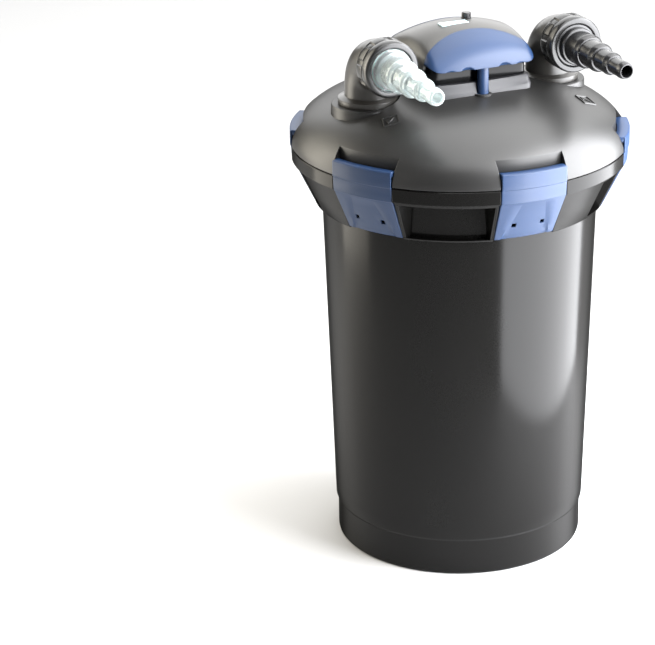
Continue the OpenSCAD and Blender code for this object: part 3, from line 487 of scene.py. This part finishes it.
def makeCollar(c):
    out, foot = rimR / mm, rim["foot"]
    skirtTop = out - 3.5
    web = foot + c["lip"]
    skirt = lambda z: c["footR"] + (skirtTop - c["footR"]) * (z - foot) / (rim["bandLow"] - 1.5 - foot)
    outline = [(out - 13.5, seam - c["topGap"]), (out - 0.9, seam - c["topGap"]), (out, seam - c["topGap"] - 0.9),
               (out, rim["bandLow"] + 1), (out - 0.5, rim["bandLow"] + 0.2), (out - 2.9, rim["bandLow"] - 0.6),
               (skirtTop - 0.3, rim["bandLow"] - 2.2), (skirt(web + 20), web + 20), (c["footR"] + 0.3, foot + 1),
               (c["footR"] - 0.7, foot), (156.6, foot), (156.8, web), (skirt(web) - c["wall"] - 1, web),
               (skirt(seam - 23) - c["wall"], seam - 23), (skirt(seam - 23) - c["wall"], seam - 20), (159, seam - 20),
               (159, seam - 12), (out - 13.5, seam - 12)]
    thing = Form().lathe(outline, 288).loose("collar_shell")
    bays = Form()
    for i in range(6):
        bays.sweep(radians(60 * i), [(156.2, foot - 2), (210, foot - 2), (210, seam - 16.2), (156.2, seam - 16.2)],
                   -rim["bayHalf"], rim["bayHalf"], 24, narrow)
    carve(thing, bays)
    slots = Form()
    for i in range(6):
        slots.sweep(radians(60 * i), [(out - 9.5, seam - 19), (210, seam - 19), (210, seam + 2), (out - 9.5, seam + 2)],
                    -rim["bayHalf"], rim["bayHalf"], 24, narrow)
    carve(thing, slots)
    pockets = Form()
    half = c["pocketHalf"]
    for i, (a0, a1) in enumerate([(-half, half), (c["panel"] - half, half), (-half, half - c["panel"])] * 2):
        middle = 60 * i - 30
        window = [(157.5, web), (157.5, c["pocketTop"]), (208, c["pocketTop"]), (208, web)]
        pockets.wedge(window, radians(middle + a0), radians(middle + a1), 16)
    carve(thing, pockets)
    cheeks = Form()
    plate = [(157.2, foot + 0.4), (c["footR"] - 0.4, foot + 0.4), (skirtTop - 0.8, rim["bandLow"] - 2.4),
             (skirtTop - 0.8, seam - 18), (158, seam - 18)]
    for i in range(6):
        for side in (-1, 1):
            cheeks.sweep(radians(60 * i), plate, side * rim["bayHalf"], side * (rim["bayHalf"] + c["cheek"]), 1, narrow)
    joinInto(thing, cheeks.loose("cheeks"))
    return finishPiece(thing, "tank_plastic", "canister", ["collar"], 25)


makeCollar(collarShape)
print("collar ready")

lidShape = {"dome": 70, "power": 2.5, "wall": 4, "boss": 41, "bossTop": 58, "well": 36.5, "portX": 112}


def domeZ(r, out, h):
    return seam + h * sqrt(max(0, 1 - (r / out) ** lidShape["power"]))


def makeLid(c):
    out = rimR / mm
    inner = 168
    steps = 56
    outer = [(out * cos(0.5 * pi * i / steps), domeZ(out * cos(0.5 * pi * i / steps), out, c["dome"]))
             for i in range(steps) if out * cos(0.5 * pi * i / steps) > 24]
    outer = [(out - 0.8, seam), (out, seam + 0.8)] + [p for p in outer if p[1] > seam + 1.5]
    under = [(r, domeZ(r, out - c["wall"], c["dome"] - c["wall"])) for r in range(24, inner, 12)]
    thing = Form().lathe(outer + [(23, seam + c["dome"] - 0.2)] + under + [(inner, seam)], 288).loose("lid_shell")
    raised = Form()
    for side in (-1, 1):
        x = side * c["portX"] * mm
        top = seam + c["bossTop"]
        raised.lathe([(c["boss"] - 8, seam + 34), (c["boss"] + 0.6, seam + 34), (c["boss"], top - 1.6),
                      (c["boss"] - 0.5, top - 0.5), (c["boss"] - 1.6, top), (29.2, top), (29.2, seam + 34)], 96, x)
    wells = Form()
    for side in (-1, 1):
        wells.lathe([(2, seam + 20), (29.3, seam + 20), (29.3, seam + c["bossTop"] + 0.02),
                     (c["well"], seam + c["bossTop"] + 0.02), (c["well"], seam + 110), (2, seam + 110)], 96,
                    side * c["portX"] * mm)
    carve(thing, raised, "UNION")
    carve(thing, wells)
    notches = Form()
    hook = out - 14.2
    for i in range(6):
        notches.sweep(radians(60 * i), [(out - 6, seam - 2), (out + 6, seam - 2), (out + 6, seam + 40),
                                        (hook, seam + 40), (hook, seam + 14), (out - 6, seam + 10.6)],
                      -rim["bayHalf"], rim["bayHalf"], 40)
    carve(thing, notches)
    return thing


lid = makeLid(lidShape)
finishPiece(lid, "lid_plastic", "canister", ["lid"], 22)
print("lid ready")

headShape = {"halfW": 66.6, "crown": seam + 137, "edge": seam + 100, "halfD": 70, "arc": 110, "shoulder": 38,
             "round": 161.6, "endRound": 11, "wall": 4, "gripArc": 116, "gripReach": {-1: 26, 1: 33}, "cornerR": 15,
             "flutes": (-44, -23, 23, 44), "fluteR": 13, "fluteDeep": 5.2, "fluteLean": 0.55,
             "socketY": 59.4, "socketR": 7.2, "knob": (13, 9.5), "knobHoleR": 5.9,
             "plateLow": (-26.0, -9.6), "plateHigh": (8.0, 2.6), "plateDeep": 2.4}


def capRow(c, x, inset, low):
    # outline of the cap from front to back at x mm from its middle
    fall = c["round"] - sqrt(c["round"] ** 2 - x * x)
    over = abs(x) - (c["halfW"] - inset - c["endRound"])
    if over > 0:
        inset = inset + c["endRound"] - sqrt(max(c["endRound"] ** 2 - over ** 2, 0))
    lean = asin((c["halfD"] - c["shoulder"]) / (c["arc"] - c["shoulder"]))
    arcZ = c["crown"] - c["arc"] - fall
    midY, midZ = c["halfD"] - c["shoulder"], arcZ + (c["arc"] - c["shoulder"]) * cos(lean)
    small, large = c["shoulder"] - inset, c["arc"] - inset
    start = asin(max(-1, min(1, (low - midZ) / small)))
    turn = [start + (0.5 * pi - lean - start) * i / 14 for i in range(15)]
    front = [(midY + small * cos(t), midZ + small * sin(t)) for t in turn]
    front += [(large * sin(lean * (1 - i / 10)), arcZ + large * cos(lean * (1 - i / 10))) for i in range(1, 10)]
    whole = [(-y, z) for y, z in front] + [(0, arcZ + large)] + [(y, z) for y, z in reversed(front)]
    return [(mm * x, mm * y, mm * z) for y, z in whole]


def capSolid(c, grow, inset, low):
    # the cap's outer or inner form as one closed solid
    half = c["halfW"] - inset
    bend = [half - c["endRound"] * (1 - sin(0.5 * pi * i / 8)) for i in range(1, 9)]
    flat = [(half - c["endRound"]) * i / 12 for i in range(13)]
    xs = [-x for x in reversed(flat[1:] + bend)] + flat + bend
    rows = [capRow(c, x, inset - grow, low) for x in xs]
    return Form().solid(rows)


def drum(x, y, z0, z1, r, steps=96, tilt=(0, 0)):
    # upright or leaning cylinder
    rows = []
    for z in (z0, z1):
        dx, dy = tilt[0] * (z - z0), tilt[1] * (z - z0)
        rows.append([(mm * (x + dx + r * cos(2 * pi * i / steps)), mm * (y + dy + r * sin(2 * pi * i / steps)), mm * z)
                     for i in range(steps)])
    return Form().solid(rows)


def makeHead(c):
    high, edge = c["crown"] + 9, c["edge"]

    def shell(name, grow):
        thing = capSolid(c, grow, 0, edge).loose(name)
        carve(thing, capSolid(c, 0, c["wall"], edge - 5))
        return thing

    def gripDrum(s, r):
        return drum(0, s * (c["gripReach"][s] + c["gripArc"]), edge - 6, high, r, 240)

    def slab(inset, z0, z1):
        (x0, y0), (x1, y1) = c["plateLow"], c["plateHigh"]
        x0, y0, x1, y1 = x0 + inset, y0 + inset, x1 - inset, y1 - inset
        return Form().solid([[(mm * x, mm * y, mm * z) for x, y in ((x0, y0), (x1, y0), (x1, y1), (x0, y1))]
                             for z in (z0, z1)])

    cap = shell("cap_shell", 0)
    for s in (-1, 1):
        carve(cap, gripDrum(s, c["gripArc"]))
    carve(cap, slab(0, c["crown"] - c["plateDeep"], high))
    carve(cap, drum(*c["knob"], edge, high, c["knobHoleR"], 48))
    finishPiece(cap, "cap_plastic", "handle", ["handle_cap"], 30, 0.5)
    label = slab(0.2, c["crown"] - c["plateDeep"], c["crown"] - 0.3).loose("label_form")
    finishPiece(label, "label", "handle", ["label_plate"], 30, 0.4)
    for s, stand in ((-1, "grip_front"), (1, "grip_rear")):
        grip = shell(stand + "_shell", 0.5)
        carve(grip, gripDrum(s, c["gripArc"] - 0.5), "INTERSECT")
        for end in (-1, 1):
            wide, r = c["halfW"], c["cornerR"]
            corner = [(wide + 5, r), (wide + 5, -5), (wide - r, -5)]
            for i in range(11):
                t = 0.5 * pi * i / 10
                corner.append((wide + 1 - r * (1 - sin(t)), r * (1 - cos(t))))
            sides = [[(mm * end * x, mm * s * y, mm * (edge + z)) for x, z in corner] for y in (20, 90)]
            carve(grip, Form().solid(sides))
        for x in c["flutes"]:
            carve(grip, drum(x, s * (c["halfD"] + c["fluteR"] - c["fluteDeep"]), edge - 2, edge + 24, c["fluteR"], 64,
                             (0, s * c["fluteLean"])))
        joinInto(grip, drum(0, s * c["socketY"], edge + 0.4, edge + 5, c["socketR"], 48).loose("socket"))
        finishPiece(grip, "blue_plastic", "handle", [stand], 30, 0.9)


makeHead(headShape)
print("head ready")

footShape = {"halfW": 65, "halfD": 54, "bulge": 6, "corner": 9, "low": seam + 62, "high": seam + 82}
houseShape = {"halfW": 60.5, "halfD": 48, "bulge": 3, "corner": 9, "low": seam + 80, "high": seam + 106}


def barrelRow(c, inset, z):
    # rounded oblong with bowed front and back
    w, d, r = c["halfW"] - inset, c["halfD"] - inset, max(c["corner"] - inset, 1)
    row = []
    for cx, cy, start in ((w - r, d - r, 0), (r - w, d - r, 0.5), (r - w, r - d, 1), (w - r, r - d, 1.5)):
        row += [(cx + r * cos(pi * (start + 0.5 * i / 8)), cy + r * sin(pi * (start + 0.5 * i / 8))) for i in range(9)]
        if start in (0, 1):
            side = 1 if start == 0 else -1
            row += [(side * (w - r) * (1 - i / 8), side * d) for i in range(1, 16)]
    bow = lambda x, y: y + c["bulge"] * (1 - (x / c["halfW"]) ** 2) * y / c["halfD"]
    return [(mm * x, mm * bow(x, y), mm * z) for x, y in row]


rodSlot = {"y": 60, "r": 7.4}


def makeBarrel(c, steps, name, slot, body, stands):
    rows = [barrelRow(c, inset, z) for inset, z in steps]
    thing = Form().solid(rows).loose(name)
    for s in (-1, 1):
        carve(thing, drum(0, s * rodSlot["y"], c["low"] - 2, c["high"] + 2, rodSlot["r"], 48))
    return finishPiece(thing, slot, body, stands, 35)


makeBarrel(footShape, [(-0.6, seam + 62), (-0.6, seam + 71), (0.2, seam + 72.4), (1.2, seam + 75), (2.2, seam + 78),
                       (2.8, seam + 80.4), (3.4, seam + 81.6), (4.6, seam + 82)],
           "foot_form", "foot_plastic", "canister", ["head_foot"])
makeBarrel(houseShape, [(0.6, seam + 80), (0, seam + 82), (0.4, seam + 94), (1.2, seam + 104), (2.4, seam + 105.6),
                        (5, seam + 106)], "house_form", "gloss_black", "canister", ["head_housing"])
print("housing ready")

nutShape = {"back": 37.5, "front": 66.5, "r": 31.6, "ribs": 9, "z": seam + 111, "x": 112}


def turned(c, side, outline, steps=144, depth=lambda i, y: 0.0):
    # closed outline of (radius, distance forward) turned about an outlet's axis
    rows = [[(mm * (side * c["x"] + (r - depth(i, y)) * cos(2 * pi * i / steps)), mm * -y,
              mm * (c["z"] + (r - depth(i, y)) * sin(2 * pi * i / steps))) for r, y in outline] for i in range(steps)]
    return Form().rows(rows + rows[:1], closed=True)


def makeNut(c, side, body, stand):
    b, f, r = c["back"], c["front"], c["r"]
    outline = [(26.2, b), (r - 2.4, b), (r - 1.4, b + 0.8), (r - 1.2, b + 2.4), (r - 0.3, b + 3.2), (r - 0.1, b + 4),
               (r - 0.1, b + 15.0), (r - 0.3, b + 15.8), (r - 1.4, b + 16.2), (r - 1.4, b + 17.2), (r - 0.2, b + 17.8),
               (r, b + 18.8), (r, f - 3.4), (r - 0.5, f - 1.6), (r - 1.7, f - 0.4), (r - 3.2, f), (r - 6.2, f),
               (r - 7.2, f - 0.7), (r - 7.8, f - 2.2), (23.6, f - 4.4), (23.6, b + 14), (26.2, b + 13)]
    wide = 144 // c["ribs"]

    def groove(i, y):
        return 1.7 if i % wide < 0.3 * wide and b + 3 < y < b + 15.9 else 0.0
    thing = turned(c, side, outline, 144, groove).loose(stand + "_form")
    return finishPiece(thing, "nut_plastic", body, [stand], 28)


tailShape = {"start": 62, "steps": (38, 32, 25, 19), "length": 27, "root": 11.5, "wall": 2.5, "z": seam + 111, "x": 112}


def makeTail(c, side, slot, body, stand):
    y = c["start"]
    outside = [(23.4, y), (23.4, y + 3.2), (21.0, y + 3.6), (21.0, y + 9.5), (20.2, y + 11)]
    inside = []
    for i, size in enumerate(c["steps"]):
        r = 0.5 * size
        z = y + c["root"] + i * c["length"]
        outside += [(r - 0.9, z), (r - 0.4, z + 1), (r - 0.2, z + 15), (r + 0.2, z + 19.4), (r + 0.1, z + 21),
                    (r - 0.9, z + 22.4), (r - 1.6, z + 24.6), (r - 2.2, z + 26.6)]
        inside += [(r - c["wall"], z - 3), (r - c["wall"], z + c["length"] - 5)]
    end = y + c["root"] + 4 * c["length"]
    outside[-3:] = [(8.9, end - 2), (8.3, end - 0.6), (7.7, end)]
    inside[0] = (16.5, y)
    inside[-1] = (7.0, end)
    thing = turned(c, side, outside + inside[::-1], 96).loose(stand + "_form")
    return finishPiece(thing, slot, body, [stand], 24)


for side, word, tail, slot in ((-1, "left", "hose_tail_clear", "clear_plastic"),
                               (1, "right", "hose_tail_black", "black_plastic")):
    makeNut(nutShape, side, word + "_nut", "nut_" + word)
    makeTail(tailShape, side, slot, word + "_elbow", tail)
print("ports ready")

markShape = {"at": ((-113.7, -65.4, 1), (118.5, -78.3, -1)), "half": 11.5, "thick": 2.0, "rise": 1.2}


def makeMark(m, x, y, way):
    # raised diamond with a plain flow arrow on the lid
    r = sqrt(x * x + y * y)
    out = (x / r, y / r)
    h = m["half"]
    strokes = [((-h, 0), (0, h)), ((0, h), (h, 0)), ((h, 0), (0, -h)), ((0, -h), (-h, 0)),
               ((0, -0.5 * h * way), (0, 0.5 * h * way)), ((-0.28 * h, 0.18 * h * way), (0, 0.5 * h * way)),
               ((0.28 * h, 0.18 * h * way), (0, 0.5 * h * way))]
    mark = Form()
    for (u0, v0), (u1, v1) in strokes:
        long = sqrt((u1 - u0) ** 2 + (v1 - v0) ** 2)
        du, dv = (u1 - u0) / long, (v1 - v0) / long
        rows = []
        for i in range(7):
            u, v = u0 + (u1 - u0) * i / 6, v0 + (v1 - v0) * i / 6
            row = []
            for side, up in ((-0.5, -0.6), (-0.34, m["rise"]), (0.34, m["rise"]), (0.5, -0.6)):
                a, b = u - dv * side * m["thick"], v + du * side * m["thick"]
                px, py = x - out[1] * a + out[0] * b, y + out[0] * a + out[1] * b
                row.append((mm * px, mm * py, mm * (domeZ(sqrt(px * px + py * py), rimR / mm, lidShape["dome"]) + up)))
            rows.append(row)
        mark.solid(rows)
    return mark.loose("flow_mark")


for x, y, way in markShape["at"]:
    finishPiece(makeMark(markShape, x, y, way), "lid_plastic", "canister", (), 30)
print("flow marks ready")
